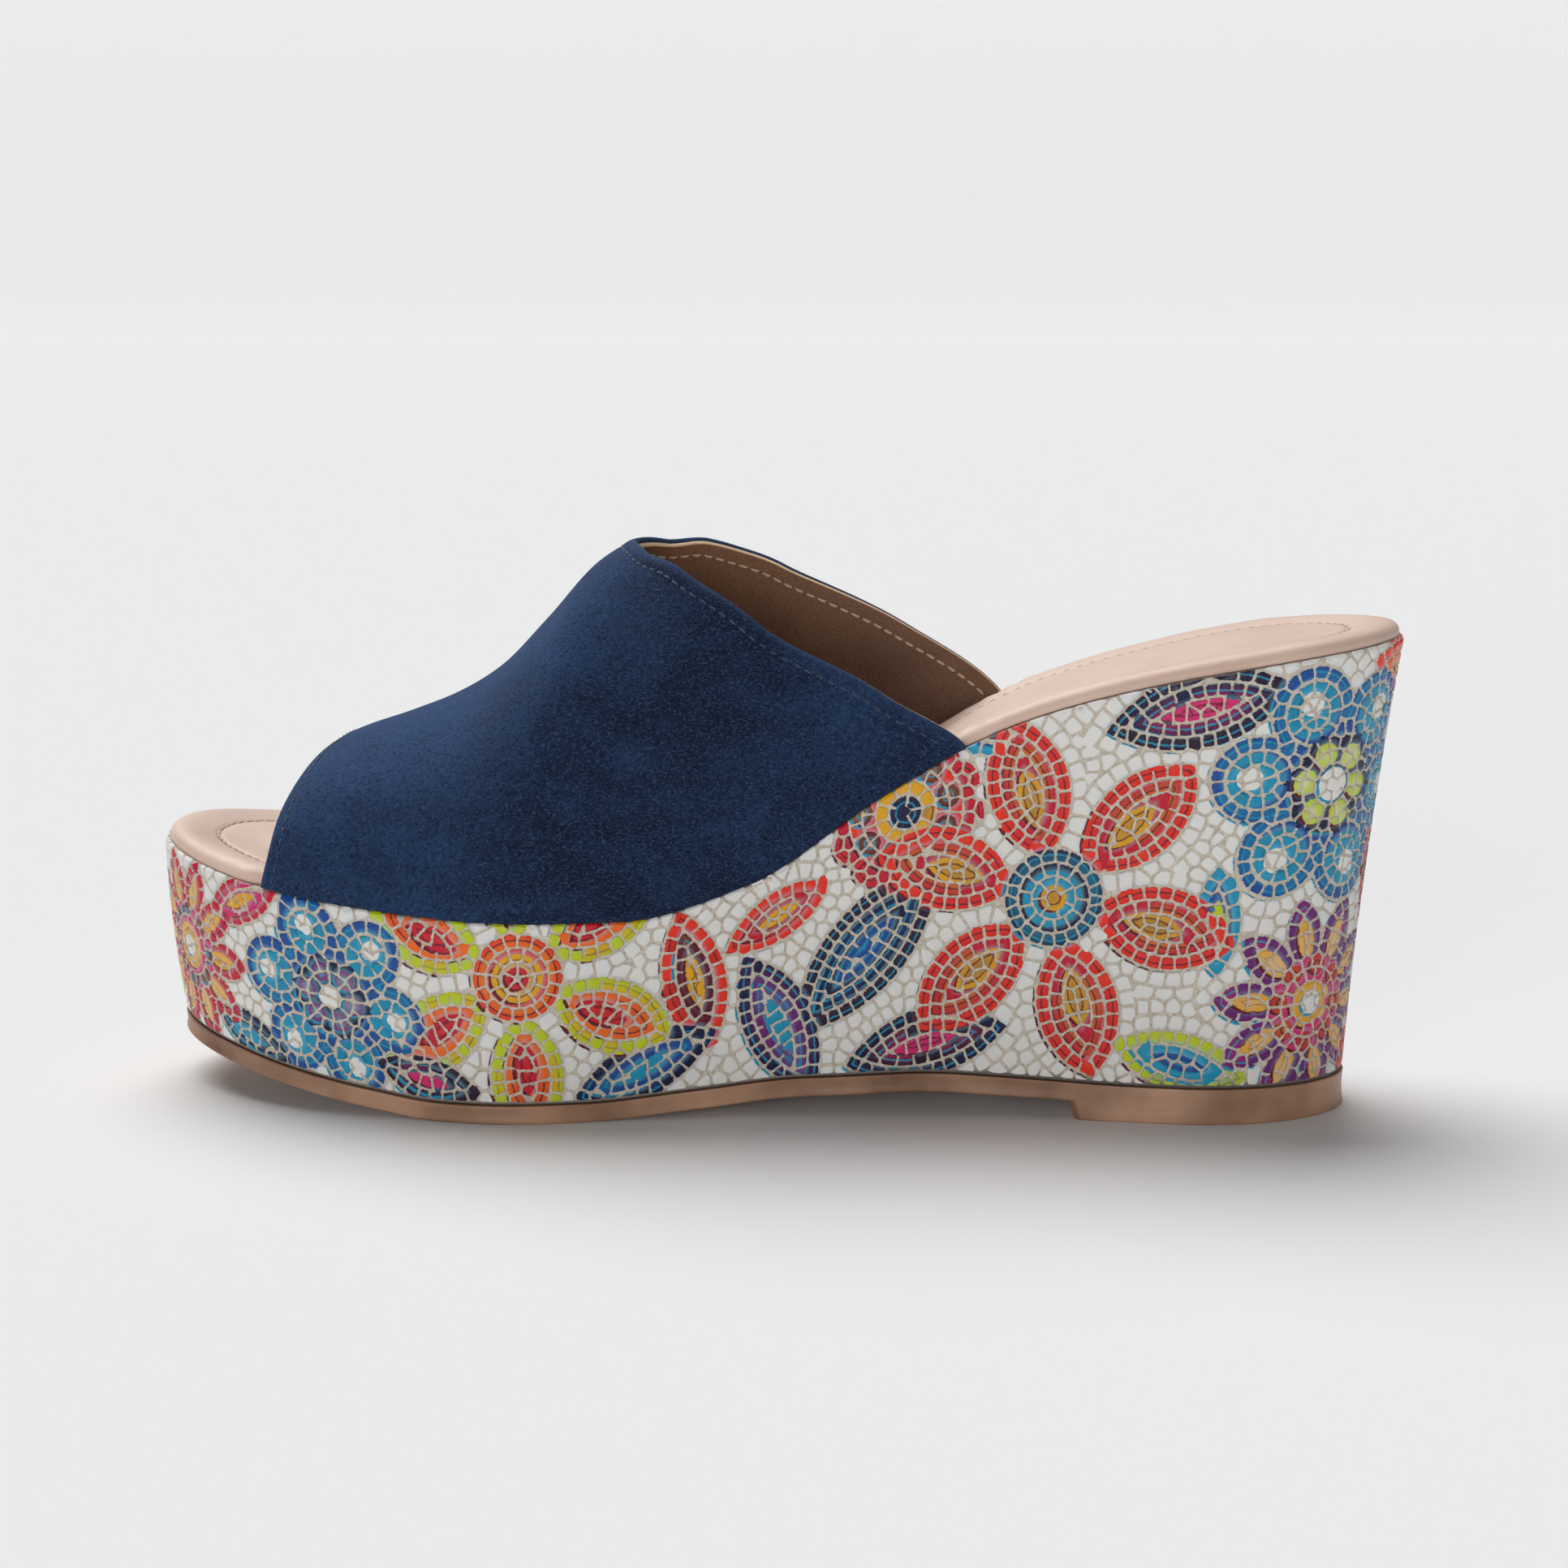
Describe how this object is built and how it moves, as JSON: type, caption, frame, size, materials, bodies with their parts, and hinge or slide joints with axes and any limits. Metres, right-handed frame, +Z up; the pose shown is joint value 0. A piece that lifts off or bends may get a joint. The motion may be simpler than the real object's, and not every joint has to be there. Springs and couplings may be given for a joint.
{
  "type": "wedge mule slide sandal",
  "caption": "Left wedge mule: one wide suede strap with peep toe on a wrapped platform wedge, padded insole and rubber outsole.",
  "frame": {"origin": "middle of the shoe's bounding box, on the floor", "axes": "+X from toe to heel, +Y to the inner side of the foot, +Z up"},
  "size_m": [0.246, 0.0876, 0.1085],
  "materials": {
    "outsole_rubber": "semi-gloss tan brown rubber",
    "wrap_leather": "printed tiled leather, smooth tiles on matt grout",
    "insole_leather": "smooth matt padded leather",
    "upper_suede": "napped navy suede, smooth brown lining"
  },
  "bodies": {
    "root": {"outsole": "outsole_rubber", "wedge": "wrap_leather", "insole": "insole_leather", "upper": "upper_suede"}
  },
  "joints": []
}
